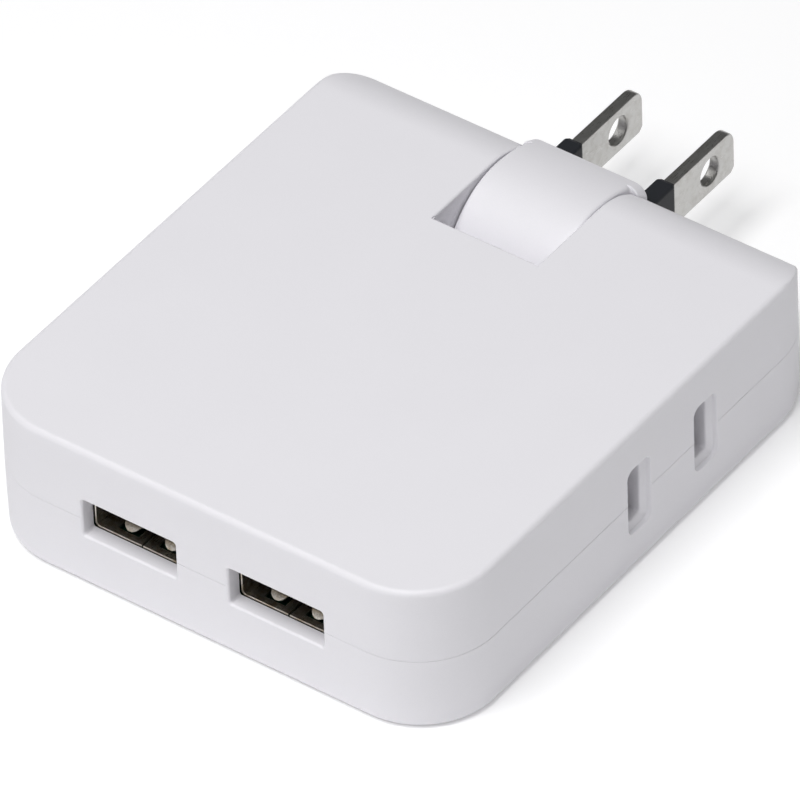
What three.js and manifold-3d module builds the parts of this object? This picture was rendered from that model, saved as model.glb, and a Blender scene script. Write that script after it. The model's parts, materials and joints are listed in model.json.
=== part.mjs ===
// Compact wall charger: a flat white slab with two USB-A ports in the front edge, a two-slot mains outlet in
// each side and a swinging two-blade plug in the rounded far end. Millimetres, +Z up, +Y towards the plug.
// Everything below is built about the slab's own centre; the last lines put the origin under the whole part.
import * as THREE from "three";
import { mergeVertices } from "three/addons/utils/BufferGeometryUtils.js";
import Module from "manifold-3d";

const wasm = await Module();
wasm.setup();

// ---- Driving dimensions ----
const WIDTH = 64.4; // slab, across X
const LENGTH = 75; // slab, along Y
const HEIGHT = 20; // slab, along Z
const ROUND = HEIGHT / 2; // radius of the far end's half-round, and of the four corners seen from above
const WALL = 2;
const SEAM_GAP = 0.3; // between the two case halves, at mid-height
const AIR = 0.3; // clearance between pieces that touch

const FRONT = -LENGTH / 2;
const PIVOT_Y = LENGTH / 2 - ROUND; // swing axis: the centre line of the half-round end

const NOTCH_HALF = 7.2; // opening in the far end that the plug swings in
const NOTCH_FRONT = 16;
const HINGE_WALL = 3; // cheeks each side of the notch, which carry the trunnions

const DRUM_RADIUS = ROUND - 0.05;
const DRUM_HALF = NOTCH_HALF - AIR;
const HEAD_FALL = 32; // the head's top falls by y²/HEAD_FALL from the drum to the plug face
const FACE_Y = 8.4; // plug face, from the swing axis
const FLANGE_BACK = 6.6;
const FLANGE_HALF = 8.1;
const FLANGE_TALL = 7.9; // half height
const TRUNNION_RADIUS = 2.8;
const TRUNNION_END = 11.6;
const PIN_RADIUS = 1.4;

const BLADE_PITCH = 12.7; // two parallel flat blades
const BLADE_THICK = 1.5;
const BLADE_TALL = 6.3;
const BLADE_TIP = 26.7; // from the swing axis
const BLADE_ROOT = 7;
const HOLE_FROM_TIP = 4.8;
const HOLE_RADIUS = 1.8;
const SLEEVE_END = 14.7;
const SLEEVE_ROOT = 7.95;
const SLEEVE_WALL = 0.4;
const SNUG = 0.1; // clearance between pieces moulded or pressed together
const TIP_ROUND = 1.6; // upper corner of a blade's tip
const TIP_BEVEL = 0.6; // lower corner
const TAIL_X = [4.7, 5.8]; // each blade's tail steps inwards and runs back to the swing axis
const TAIL_HALF = 2.2;
const PIN_FLANGE = 2.2; // radius of the head on a contact pin's outer end
const PIN_REACH = 0.8; // how far that head stands past the trunnion

const PORT_X = 10; // the ports stand this far each side of the middle
const PORT_CUT = [12.8, 5.2]; // opening in the case, X by Z
const SHELL_OUT = [13.1, 5.7];
const SHELL_IN = [12.5, 5.1];
const SHELL_FRONT = FRONT + WALL + AIR;
const SHELL_LENGTH = 13.6;
const TONGUE_FRONT = SHELL_FRONT + 2.3;

const SLOT_Y = [-0.1, 12.6]; // the outlet's two slots
const SLOT = [2.2, 7.0]; // Y by Z
const FUNNEL = [4.5, 9.1]; // the slot's bevelled mouth
const FUNNEL_DEPTH = 1.6;
const OUTLET_PAD = 4.8; // thickness of the wall behind the slots
const PAD_Y = [-4, 16];
const POST_TALL = 9; // half height of the pads and screw posts, which end inside the slab's flat walls

const BOARD_TOP = -3.2;
const BOARD_THICK = 1.6;
const SCREWS = { front: [24, -26.5], rear: [21.5, 26] };
const SCREW_RADIUS = 1.25;
const SCREW_HEAD = 2.6;
const SCREW_HEAD_TALL = 1.6;
const SCREW_HEAD_TOP = -HEIGHT / 2 + 2.1;
const SCREW_TIP = 5;

const DETENT_X = [10.55, 11.45]; // spring leaf under the right trunnion
const DETENT_HALF = 5.5; // half its length along Y
const DETENT_Z = [-3.7, -3.3];
const DETENT_FOOT = -8;

const BUS_FLOOR = [-6.8, -6.2]; // both bus bars run along the bottom of the case
const BUS_SPINE = [-1.2, 1.1]; // Y, from the slot's middle
const BUS_FOOT = 1.8; // half width of the clip's floor
const BUS_LEAF = [1.3, 1.8]; // each clip's two leaves, from the slot's middle
const BUS_LEAF_TOP = 3.6;
const BUS_CLIP_IN = 14;
const BUS_WIPER = [1.1, 1.6]; // past the trunnion's end
const BUS_WIPER_HALF = 1.8;

const BOARD_NECK = 18.5; // half width between the front screws
const BOARD_WIDE = 28.5;
const BOARD_STEP = -21;
const BOARD_BACK = -6.2;

const ARC_STEPS = 8; // facets in a quarter turn

// ---- Materials ----
function finish(color, roughness, metalness = 0) {
  return new THREE.MeshStandardMaterial({ color, roughness, metalness });
}
const whitePlastic = finish(0xe2e1e6, 0.55);
const blackPlastic = finish(0x15161a, 0.45);
const nickel = finish(0xc6c3bd, 0.22, 1);
const brass = finish(0xc9a45c, 0.3, 1);
const steel = finish(0xb9bcc0, 0.3, 1);
const greenBoard = finish(0x1f6b43, 0.5);
const ferrite = finish(0x3a3a3d, 0.7);
const yellowTape = finish(0xd8b62a, 0.5);
const capSleeve = finish(0x23305e, 0.4);
const blueCoat = finish(0x2f6fb0, 0.5);

// ---- Solids: three.js geometry in, manifold solid out, and back ----
function solid(geometry) {
  const bare = new THREE.BufferGeometry();
  const flat = geometry.index ? geometry.toNonIndexed() : geometry;
  bare.setAttribute("position", flat.getAttribute("position"));
  const merged = mergeVertices(bare, 1e-4);
  return new wasm.Manifold(
    new wasm.Mesh({
      numProp: 3,
      vertProperties: merged.attributes.position.array,
      triVerts: new Uint32Array(merged.index.array),
    }),
  );
}

function geometryOf(manifold) {
  const mesh = manifold.getMesh();
  const geometry = new THREE.BufferGeometry();
  geometry.setAttribute("position", new THREE.BufferAttribute(new Float32Array(mesh.vertProperties), 3));
  geometry.setIndex(new THREE.BufferAttribute(new Uint32Array(mesh.triVerts), 1));
  return geometry;
}

const cut = (base, ...tools) => tools.reduce((left, tool) => left.subtract(tool), base);
const join = (base, ...more) => more.reduce((sum, piece) => sum.add(piece), base);

// A box between two values on each axis.
function block([x0, x1], [y0, y1], [z0, z1]) {
  const box = new THREE.BoxGeometry(x1 - x0, y1 - y0, z1 - z0);
  box.translate((x0 + x1) / 2, (y0 + y1) / 2, (z0 + z1) / 2);
  return solid(box);
}

// A round bar along X, between two values of X.
function barX(radius, x0, x1, y = 0, z = 0, sides = 24) {
  const bar = new THREE.CylinderGeometry(radius, radius, x1 - x0, sides);
  bar.rotateZ(-Math.PI / 2);
  bar.translate((x0 + x1) / 2, y, z);
  return solid(bar);
}

// A round post along Z, between two values of Z.
function postZ(radius, x, y, z0, z1, sides = 24) {
  const post = new THREE.CylinderGeometry(radius, radius, z1 - z0, sides);
  post.rotateX(Math.PI / 2);
  post.translate(x, y, (z0 + z1) / 2);
  return solid(post);
}

// A shape drawn in X and Y, carried along Z.
function carriedZ(shape, z0, z1, curveSegments = ARC_STEPS) {
  const body = new THREE.ExtrudeGeometry(shape, { depth: z1 - z0, bevelEnabled: false, curveSegments });
  body.translate(0, 0, z0);
  return solid(body);
}

// A shape drawn in Y and Z, carried along X.
function carriedX(shape, x0, x1, curveSegments = ARC_STEPS) {
  const body = new THREE.ExtrudeGeometry(shape, { depth: x1 - x0, bevelEnabled: false, curveSegments });
  body.rotateX(Math.PI / 2);
  body.rotateZ(Math.PI / 2);
  body.translate(x0, 0, 0);
  return solid(body);
}

// A tapering hole with a rectangular mouth at x0 and a smaller rectangle at x1, centred on y and z = 0.
function funnel(x0, [mouthY, mouthZ], x1, [throatY, throatZ], y) {
  const corners = [
    [-1, -1],
    [1, -1],
    [1, 1],
    [-1, 1],
  ];
  const ring = (x, w, h) => corners.map(([a, b]) => new THREE.Vector3(x, y + (a * w) / 2, (b * h) / 2));
  const points = [...ring(x0, mouthY, mouthZ), ...ring(x1, throatY, throatZ)];
  const faces = [0, 2, 1, 0, 3, 2, 4, 5, 6, 4, 6, 7];
  for (let i = 0; i < 4; i++) {
    const j = (i + 1) % 4;
    faces.push(i, j, j + 4, i, j + 4, i + 4);
  }
  if (x1 < x0) faces.reverse();
  const geometry = new THREE.BufferGeometry().setFromPoints(points);
  geometry.setIndex(faces);
  return solid(geometry);
}

const group = new THREE.Group();
const body = new THREE.Group(); // everything that stays still
const plug = new THREE.Group(); // everything that swings, about its own X axis
plug.position.set(0, PIVOT_Y, 0);
group.add(body, plug);

function place(parent, name, manifold, material) {
  const mesh = new THREE.Mesh(geometryOf(manifold), material);
  mesh.name = name;
  parent.add(mesh);
  return mesh;
}

const SIDES = { left: -1, right: 1 };

// ---- Case ----
// The slab, drawn in by an inset: a rounded rectangle from above, met by a side profile whose far end is a
// half-round about the swing axis.
function slab(inset) {
  const half = WIDTH / 2 - inset;
  const near = FRONT + inset;
  const far = LENGTH / 2 - inset;
  const r = ROUND - inset;
  const plan = new THREE.Shape();
  plan.moveTo(-half + r, near);
  plan.lineTo(half - r, near);
  plan.absarc(half - r, near + r, r, -Math.PI / 2, 0);
  plan.absarc(half - r, far - r, r, 0, Math.PI / 2);
  plan.absarc(-half + r, far - r, r, Math.PI / 2, Math.PI);
  plan.absarc(-half + r, near + r, r, Math.PI, 1.5 * Math.PI);
  const side = new THREE.Shape();
  side.moveTo(near - 1, -r);
  side.lineTo(PIVOT_Y, -r);
  side.absarc(PIVOT_Y, 0, r, -Math.PI / 2, Math.PI / 2);
  side.lineTo(near - 1, r);
  return carriedZ(plan, -HEIGHT, HEIGHT).intersect(carriedX(side, -WIDTH, WIDTH, 2 * ARC_STEPS));
}

// The room that the plug's flange sweeps as the plug swings down a quarter turn.
function flangeSweep() {
  const back = FLANGE_BACK - AIR;
  const tall = FLANGE_TALL + 3 * AIR;
  const out = ROUND + 3;
  const sweep = new THREE.Shape();
  sweep.moveTo(back, tall);
  sweep.lineTo(back, 0);
  sweep.absarc(0, 0, back, 0, -Math.PI / 2, true);
  sweep.lineTo(-tall, -back);
  sweep.lineTo(-tall, -out);
  sweep.lineTo(out, -out);
  sweep.lineTo(out, tall);
  const half = FLANGE_HALF + AIR + 0.05;
  return carriedX(sweep, -half, half).translate([0, PIVOT_Y, 0]);
}

function caseShell() {
  const cheek = NOTCH_HALF + HINGE_WALL;
  const hingeBlock = block([-cheek, cheek], [NOTCH_FRONT - WALL, LENGTH], [-HEIGHT, HEIGHT]);
  let shell = cut(slab(0), cut(slab(WALL), hingeBlock));
  const face = WIDTH / 2;
  for (const side of [-1, 1]) {
    const inner = side * (face - OUTLET_PAD);
    const outer = side * (face - WALL / 2);
    const pad = block([Math.min(inner, outer), Math.max(inner, outer)], PAD_Y, [-POST_TALL, POST_TALL]);
    shell = join(shell, pad);
    for (const [x, y] of Object.values(SCREWS)) {
      shell = join(shell, postZ(SCREW_HEAD + AIR + WALL / 2, side * x, y, -POST_TALL, POST_TALL));
    }
  }
  shell = cut(
    shell,
    block([-NOTCH_HALF, NOTCH_HALF], [NOTCH_FRONT, LENGTH], [-HEIGHT, HEIGHT]),
    flangeSweep(),
    barX(TRUNNION_RADIUS + AIR, -cheek - 1, cheek + 1, PIVOT_Y),
  );
  for (const side of [-1, 1]) {
    const [w, h] = PORT_CUT;
    const x = side * PORT_X;
    shell = cut(shell, block([x - w / 2, x + w / 2], [FRONT - 1, FRONT + WALL + 1], [-h / 2, h / 2]));
    const behind = side * (face - OUTLET_PAD - 1);
    for (const y of SLOT_Y) {
      const throat = side * (face - FUNNEL_DEPTH);
      const span = [Math.min(behind, side * face), Math.max(behind, side * face)];
      const slot = block(span, [y - SLOT[0] / 2, y + SLOT[0] / 2], [-SLOT[1] / 2, SLOT[1] / 2]);
      // The mouth is carried a little past the face, at the same taper.
      const past = 1 + 0.2 / FUNNEL_DEPTH;
      const mouth = FUNNEL.map((size, i) => SLOT[i] + (size - SLOT[i]) * past);
      shell = cut(shell, slot, funnel(side * (face + 0.2), mouth, throat, SLOT, y));
    }
    for (const [x0, y0] of Object.values(SCREWS)) {
      const sx = side * x0;
      shell = cut(
        shell,
        postZ(SCREW_RADIUS + 0.15, sx, y0, -HEIGHT, 6, 16),
        postZ(SCREW_HEAD + AIR, sx, y0, -HEIGHT, SCREW_HEAD_TOP + AIR),
      );
    }
  }
  return shell;
}

const shell = caseShell();
const roomy = 2 * LENGTH;
const above = block([-roomy, roomy], [-roomy, roomy], [SEAM_GAP / 2, roomy]);
const below = block([-roomy, roomy], [-roomy, roomy], [-roomy, -SEAM_GAP / 2]);
place(body, "top_case", shell.intersect(above), whitePlastic);
place(body, "bottom_case", shell.intersect(below), whitePlastic);

// ---- Case screws, driven up from the underside ----
for (const [side, sign] of Object.entries(SIDES)) {
  for (const [end, [x, y]] of Object.entries(SCREWS)) {
    const head = postZ(SCREW_HEAD, sign * x, y, SCREW_HEAD_TOP - SCREW_HEAD_TALL, SCREW_HEAD_TOP);
    const shank = postZ(SCREW_RADIUS, sign * x, y, SCREW_HEAD_TOP - 0.5, SCREW_TIP, 12);
    place(body, `case_screw_${end}_${side}`, join(head, shank), steel);
  }
}

// ---- Swinging plug ----
// The head: a drum about the swing axis whose top and bottom run out to a plug face with a wider flange.
function headProfile() {
  const profile = new THREE.Shape();
  const top = (y) => DRUM_RADIUS - (y * y) / HEAD_FALL;
  profile.moveTo(0, DRUM_RADIUS);
  profile.absarc(0, 0, DRUM_RADIUS, Math.PI / 2, 1.5 * Math.PI);
  for (const share of [0.33, 0.67, 1]) profile.lineTo(FACE_Y * share, -top(FACE_Y * share));
  for (const share of [1, 0.67, 0.33]) profile.lineTo(FACE_Y * share, top(FACE_Y * share));
  return profile;
}

function plugHead() {
  const flange = block([-FLANGE_HALF, FLANGE_HALF], [FLANGE_BACK, FACE_Y], [-FLANGE_TALL, FLANGE_TALL]);
  let head = join(
    carriedX(headProfile(), -DRUM_HALF, DRUM_HALF, 2 * ARC_STEPS),
    flange,
    barX(TRUNNION_RADIUS, -TRUNNION_END, TRUNNION_END),
  );
  for (const sign of [-1, 1]) {
    const x = (sign * BLADE_PITCH) / 2;
    const wide = BLADE_THICK / 2 + SNUG;
    const sleeve = wide + SLEEVE_WALL + SNUG;
    const tall = BLADE_TALL / 2 + SNUG;
    const [tailIn, tailOut] = TAIL_X;
    const tailSpan = [sign * (tailIn - SNUG), sign * (tailOut + SNUG)].sort((a, b) => a - b);
    const pinSpan = [sign * (tailOut - 0.5), sign * (TRUNNION_END + 1)].sort((a, b) => a - b);
    const pocketTall = tall + SLEEVE_WALL + SNUG;
    head = cut(
      head,
      block([x - wide, x + wide], [BLADE_ROOT - SNUG, FACE_Y + 1], [-tall, tall]),
      block([x - sleeve, x + sleeve], [SLEEVE_ROOT - SNUG, FACE_Y + 1], [-pocketTall, pocketTall]),
      block(tailSpan, [-TAIL_HALF - SNUG, FACE_Y + 1], [-TAIL_HALF - SNUG, TAIL_HALF + SNUG]),
      barX(PIN_RADIUS + SNUG, pinSpan[0], pinSpan[1]),
    );
  }
  return head;
}

place(plug, "plug_head", plugHead(), whitePlastic);

// A blade: flat bar with a hole near the tip, a clipped tip and a stepped tail.
function blade(sign) {
  const x = (sign * BLADE_PITCH) / 2;
  const half = BLADE_THICK / 2;
  const tall = BLADE_TALL / 2;
  const outline = new THREE.Shape();
  outline.moveTo(BLADE_ROOT, -tall);
  outline.lineTo(BLADE_TIP - TIP_BEVEL, -tall);
  outline.lineTo(BLADE_TIP, -tall + TIP_BEVEL);
  outline.lineTo(BLADE_TIP, tall - TIP_ROUND);
  outline.absarc(BLADE_TIP - TIP_ROUND, tall - TIP_ROUND, TIP_ROUND, 0, Math.PI / 2);
  outline.lineTo(BLADE_ROOT, tall);
  const [tailIn, tailOut] = TAIL_X;
  const tailSpan = [sign * tailIn, sign * tailOut].sort((a, b) => a - b);
  const bar = carriedX(outline, x - half, x + half, 5);
  const tail = block(tailSpan, [-TAIL_HALF, SLEEVE_ROOT - SNUG], [-TAIL_HALF, TAIL_HALF]);
  return cut(join(bar, tail), barX(HOLE_RADIUS, x - 2, x + 2, BLADE_TIP - HOLE_FROM_TIP, 0, 20));
}

// The black collar round a blade's root.
function bladeSleeve(sign) {
  const x = (sign * BLADE_PITCH) / 2;
  const wide = BLADE_THICK / 2 + SNUG;
  const tall = BLADE_TALL / 2 + SNUG;
  const span = (half) => [x - half, x + half];
  return cut(
    block(span(wide + SLEEVE_WALL), [SLEEVE_ROOT, SLEEVE_END], [-tall - SLEEVE_WALL, tall + SLEEVE_WALL]),
    block(span(wide), [0, BLADE_TIP], [-tall, tall]),
  );
}

for (const [side, sign] of Object.entries(SIDES)) {
  place(plug, `plug_blade_${side}`, blade(sign), nickel);
  place(plug, `blade_sleeve_${side}`, bladeSleeve(sign), blackPlastic);
  // The pin leads the current from the blade's tail out through the hollow trunnion.
  const pinEnd = sign * (TRUNNION_END + PIN_REACH);
  const [x0, x1] = [sign * (TAIL_X[1] + SNUG), pinEnd].sort((a, b) => a - b);
  const [f0, f1] = [sign * (TRUNNION_END + SNUG), pinEnd].sort((a, b) => a - b);
  const pin = join(barX(PIN_RADIUS, x0, x1, 0, 0, 16), barX(PIN_FLANGE, f0, f1, 0, 0, 16));
  place(plug, `contact_pin_${side}`, pin, brass);
}

// Spring leaf under the right trunnion, which clicks the plug straight or down.
const detent = join(
  block(DETENT_X, [PIVOT_Y - DETENT_HALF, PIVOT_Y + DETENT_HALF], DETENT_Z),
  block(DETENT_X, [PIVOT_Y - DETENT_HALF, PIVOT_Y - DETENT_HALF + 0.5], [DETENT_FOOT, DETENT_Z[0] + 0.2]),
);
place(body, "detent_spring", detent, steel);

// ---- Bus bars: one stamping for each pole, with a wiper on the plug's pin and a clip behind each slot ----
function busBar(sign, y) {
  const clipX = [BUS_CLIP_IN, WIDTH / 2 - OUTLET_PAD - 2 * AIR];
  const spine = BUS_SPINE.map((off) => y + off);
  let bar = block([-clipX[1], clipX[1]], spine, BUS_FLOOR);
  for (const side of [-1, 1]) {
    const span = [side * clipX[0], side * clipX[1]].sort((a, b) => a - b);
    bar = join(bar, block(span, [y - BUS_FOOT, y + BUS_FOOT], BUS_FLOOR));
    for (const leaf of [-1, 1]) {
      const leafY = BUS_LEAF.map((off) => y + leaf * off).sort((a, b) => a - b);
      bar = join(bar, block(span, leafY, [BUS_FLOOR[0], BUS_LEAF_TOP]));
    }
  }
  const wiperX = BUS_WIPER.map((off) => sign * (TRUNNION_END + off)).sort((a, b) => a - b);
  return join(
    bar,
    block(wiperX, spine, [BUS_FLOOR[0], BUS_WIPER_HALF]),
    block(wiperX, [y, PIVOT_Y + 2.5], [-BUS_WIPER_HALF, BUS_WIPER_HALF]),
  );
}
place(body, "live_bus_bar", busBar(1, SLOT_Y[1]), brass);
place(body, "neutral_bus_bar", busBar(-1, SLOT_Y[0]), brass);

// ---- USB ports ----
const portX = { left: -PORT_X, right: PORT_X };
for (const [side, x] of Object.entries(portX)) {
  const back = SHELL_FRONT + SHELL_LENGTH;
  const across = (half) => [x - half, x + half];
  const [outW, outH] = SHELL_OUT;
  const [inW, inH] = SHELL_IN;
  const can = cut(
    block(across(outW / 2), [SHELL_FRONT, back], [-outH / 2, outH / 2]),
    block(across(inW / 2), [SHELL_FRONT - 1, back + 1], [-inH / 2, inH / 2]),
  );
  place(body, `usb_shell_${side}`, can, steel);
  const insulator = join(
    block(across(6.1), [back - 2.6, back - 0.2], [-2.4, 2.4]),
    block(across(5.55), [TONGUE_FRONT, back - 1], [0.1, 1.9]),
  );
  place(body, `usb_tongue_${side}`, insulator, blackPlastic);
  [-3.5, -1, 1, 3.5].forEach((offset, i) => {
    const strip = block([x + offset - 0.5, x + offset + 0.5], [TONGUE_FRONT + 0.9, back - 2.8], [-0.3, 0]);
    place(body, `usb_contact_${side}_${i + 1}`, strip, brass);
  });
}

// ---- Board and what stands on it ----
const boardOutline = new THREE.Shape();
const boardNear = FRONT + WALL + 2 * AIR;
boardOutline.moveTo(-BOARD_NECK, boardNear);
boardOutline.lineTo(BOARD_NECK, boardNear);
boardOutline.lineTo(BOARD_NECK, BOARD_STEP);
boardOutline.lineTo(BOARD_WIDE, BOARD_STEP);
boardOutline.lineTo(BOARD_WIDE, BOARD_BACK);
boardOutline.lineTo(-BOARD_WIDE, BOARD_BACK);
boardOutline.lineTo(-BOARD_WIDE, BOARD_STEP);
boardOutline.lineTo(-BOARD_NECK, BOARD_STEP);
place(body, "main_board", carriedZ(boardOutline, BOARD_TOP - BOARD_THICK, BOARD_TOP), greenBoard);

const onBoard = BOARD_TOP + 0.2;
const coreHalf = 7.4;
const coreTop = onBoard + 10;
const core = cut(
  block([-coreHalf, coreHalf], [-16, -10.4], [onBoard, coreTop]),
  block([2 - coreHalf, coreHalf - 2], [-17, -9], [onBoard + 1.9, coreTop - 1.9]),
);
place(body, "transformer_core", core, ferrite);
const winding = block([2.3 - coreHalf, coreHalf - 2.3], [-18.4, -8], [onBoard + 2.2, coreTop - 2.2]);
place(body, "transformer_winding", winding, yellowTape);

for (const [i, y] of [-17, -9.9].entries()) {
  const lyingZ = onBoard + 3.3;
  place(body, `input_capacitor_${i + 1}`, barX(3.2, 15, 27, y, lyingZ, 20), capSleeve);
  place(body, `output_capacitor_${i + 1}`, postZ(3.15, -24, y, onBoard, onBoard + 9.5, 20), capSleeve);
}
place(body, "bridge_rectifier", block([8.6, 13.4], [-10.6, -6.8], [onBoard, onBoard + 2]), blackPlastic);
place(body, "fuse", barX(1.6, 8.4, 13.8, -13, onBoard + 1.8, 16), whitePlastic);
place(body, "safety_capacitor", barX(2.9, 9.6, 12, -18, onBoard + 3, 20), blueCoat);
place(body, "controller_chip", block([-17, -12], [-19, -15], [onBoard, onBoard + 1.6]), blackPlastic);
place(body, "output_diode", block([-17, -10.5], [-12.5, -8], [onBoard, onBoard + 2.3]), blackPlastic);

// ---- Origin: under the middle of the whole part, plug included, on the plane that it lies on ----
const farthest = PIVOT_Y + BLADE_TIP;
group.position.set(0, -(FRONT + farthest) / 2, HEIGHT / 2);

export default group;
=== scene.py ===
# A white USB wall charger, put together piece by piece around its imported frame. Lengths are in metres.
import json
from math import asin, cos, pi, radians, sin, sqrt

import bmesh
import bpy
import numpy as np
from mathutils import Matrix, Vector


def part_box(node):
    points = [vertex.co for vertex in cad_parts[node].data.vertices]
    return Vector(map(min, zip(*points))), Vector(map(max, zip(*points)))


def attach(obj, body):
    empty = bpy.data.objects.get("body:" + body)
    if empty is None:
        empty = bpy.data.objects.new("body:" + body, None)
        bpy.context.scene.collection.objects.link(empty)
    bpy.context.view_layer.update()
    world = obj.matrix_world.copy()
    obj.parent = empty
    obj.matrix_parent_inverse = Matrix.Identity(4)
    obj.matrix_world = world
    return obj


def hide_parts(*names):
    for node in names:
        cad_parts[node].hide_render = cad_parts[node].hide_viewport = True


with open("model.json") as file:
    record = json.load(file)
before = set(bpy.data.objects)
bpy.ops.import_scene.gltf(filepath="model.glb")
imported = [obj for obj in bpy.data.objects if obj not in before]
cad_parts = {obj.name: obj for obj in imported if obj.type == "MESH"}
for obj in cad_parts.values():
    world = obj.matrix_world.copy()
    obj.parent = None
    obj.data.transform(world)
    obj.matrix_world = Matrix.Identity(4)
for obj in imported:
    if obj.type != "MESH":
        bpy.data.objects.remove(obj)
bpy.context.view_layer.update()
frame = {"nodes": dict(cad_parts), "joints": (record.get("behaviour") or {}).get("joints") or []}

MM = 0.001


# ---- Camera -------------------------------------------------------------------------------------------
# A long lens a little under a metre and a half away, looking down on the USB edge from the right. The slab's
# own middle is the point that it is set up from.
case_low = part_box("bottom_case")[0]
case_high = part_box("top_case")[1]
HALF_WIDTH = case_high.x
FRONT_Y = case_low.y
MID_Z = (case_low.z + case_high.z) / 2
HALF_HEIGHT = (case_high.z - case_low.z) / 2
SLAB_MIDDLE = Vector((0, (case_low.y + case_high.y) / 2, MID_Z))

azimuth, elevation, roll = radians(37.48), radians(41.28), radians(-2.26)
back = Vector((sin(azimuth) * cos(elevation), -cos(azimuth) * cos(elevation), sin(elevation)))
level = Vector((cos(azimuth), sin(azimuth), 0))
upright = back.cross(level)
across = cos(roll) * level + sin(roll) * upright
upward = cos(roll) * upright - sin(roll) * level
camera_data = bpy.data.cameras.new("camera")
camera_data.lens = 560.2
camera_data.sensor_width = 36
camera_data.clip_start = 0.1
camera = bpy.data.objects.new("camera", camera_data)
bpy.context.collection.objects.link(camera)
stand = SLAB_MIDDLE + 1.382 * back - 0.363 * MM * across - 1.424 * MM * upward
camera.matrix_world = Matrix.Translation(stand) @ Matrix((across, upward, back)).transposed().to_4x4()
bpy.context.scene.camera = camera


# ---- White moulded plastic ----------------------------------------------------------------------------
# The two case halves and the swinging plug are injection-moulded in the same white plastic, with a fine
# spark-eroded grain on every outer face.
def new_group(name, inputs, outputs):
    """A shader node group with the named sockets, and its input and output nodes."""
    tree = bpy.data.node_groups.new(name, "ShaderNodeTree")
    for label, kind, value in inputs:
        socket = tree.interface.new_socket(label, in_out="INPUT", socket_type=kind)
        socket.default_value = value
    for label, kind in outputs:
        tree.interface.new_socket(label, in_out="OUTPUT", socket_type=kind)
    return tree, tree.nodes.new("NodeGroupInput"), tree.nodes.new("NodeGroupOutput")


def node_in(tree, kind, **settings):
    """A new node. A setting with a capital letter is an input socket, and any other is the node's own."""
    node = tree.nodes.new(kind)
    for label, value in settings.items():
        if label[0].isupper():
            node.inputs[label.replace("_", " ")].default_value = value
        else:
            setattr(node, label, value)
    return node


def grain_group():
    """Moulded grain: pits of two sizes from noise, which tilt the normal, cloud the colour by a percent or
    two and vary the roughness."""
    tree, given, result = new_group(
        "moulded_grain",
        [
            ("Colour", "NodeSocketColor", (0.8, 0.8, 0.8, 1)),
            ("Grain Size", "NodeSocketFloat", 0.2 * MM),
            ("Grain Depth", "NodeSocketFloat", 0.004 * MM),
            ("Roughness", "NodeSocketFloat", 0.5),
        ],
        [("Colour", "NodeSocketColor"), ("Roughness", "NodeSocketFloat"), ("Normal", "NodeSocketVector")],
    )
    link = tree.links.new
    place = node_in(tree, "ShaderNodeTexCoord")
    frequency = node_in(tree, "ShaderNodeMath", operation="DIVIDE")
    frequency.inputs[0].default_value = 1
    link(given.outputs["Grain Size"], frequency.inputs[1])
    fine = node_in(tree, "ShaderNodeTexNoise", Detail=3.0, Roughness=0.6)
    link(place.outputs["Object"], fine.inputs["Vector"])
    link(frequency.outputs[0], fine.inputs["Scale"])
    pits = node_in(tree, "ShaderNodeTexVoronoi", feature="SMOOTH_F1", Smoothness=0.6)
    link(place.outputs["Object"], pits.inputs["Vector"])
    link(frequency.outputs[0], pits.inputs["Scale"])
    height = node_in(tree, "ShaderNodeMath", operation="ADD")
    link(fine.outputs["Fac"], height.inputs[0])
    link(pits.outputs["Distance"], height.inputs[1])
    bump = node_in(tree, "ShaderNodeBump", Strength=1.0)
    link(height.outputs[0], bump.inputs["Height"])
    link(given.outputs["Grain Depth"], bump.inputs["Distance"])
    link(bump.outputs["Normal"], result.inputs["Normal"])
    cloud = node_in(tree, "ShaderNodeTexNoise", Scale=90.0, Detail=4.0, Roughness=0.55)
    link(place.outputs["Object"], cloud.inputs["Vector"])
    tint = node_in(tree, "ShaderNodeMapRange", To_Min=0.982, To_Max=1.012)
    link(cloud.outputs["Fac"], tint.inputs["Value"])
    speckle = node_in(tree, "ShaderNodeMapRange", From_Min=0.3, From_Max=0.7, To_Min=0.988, To_Max=1.008)
    link(fine.outputs["Fac"], speckle.inputs["Value"])
    shade = node_in(tree, "ShaderNodeMath", operation="MULTIPLY")
    link(tint.outputs["Result"], shade.inputs[0])
    link(speckle.outputs["Result"], shade.inputs[1])
    colour = node_in(tree, "ShaderNodeVectorMath", operation="SCALE")
    link(given.outputs["Colour"], colour.inputs[0])
    link(shade.outputs[0], colour.inputs["Scale"])
    link(colour.outputs[0], result.inputs["Colour"])
    polish = node_in(tree, "ShaderNodeMapRange", To_Min=-0.05, To_Max=0.07)
    link(fine.outputs["Fac"], polish.inputs["Value"])
    rough = node_in(tree, "ShaderNodeMath", operation="ADD")
    link(given.outputs["Roughness"], rough.inputs[0])
    link(polish.outputs["Result"], rough.inputs[1])
    link(rough.outputs[0], result.inputs["Roughness"])
    return tree


GRAIN = grain_group()


def moulded(name, colour, roughness, size, depth):
    """A moulded plastic with the grain group in front of it."""
    material = bpy.data.materials.new(name)
    material.use_nodes = True
    tree = material.node_tree
    bsdf = tree.nodes["Principled BSDF"]
    grain = node_in(tree, "ShaderNodeGroup", node_tree=GRAIN)
    grain.inputs["Colour"].default_value = (*colour, 1)
    grain.inputs["Grain Size"].default_value = size
    grain.inputs["Grain Depth"].default_value = depth
    grain.inputs["Roughness"].default_value = roughness
    tree.links.new(grain.outputs["Colour"], bsdf.inputs["Base Color"])
    tree.links.new(grain.outputs["Roughness"], bsdf.inputs["Roughness"])
    tree.links.new(grain.outputs["Normal"], bsdf.inputs["Normal"])
    return material


white_plastic = moulded("white_plastic", (0.80, 0.79, 0.825), 0.5, 0.16 * MM, 0.006 * MM)


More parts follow.
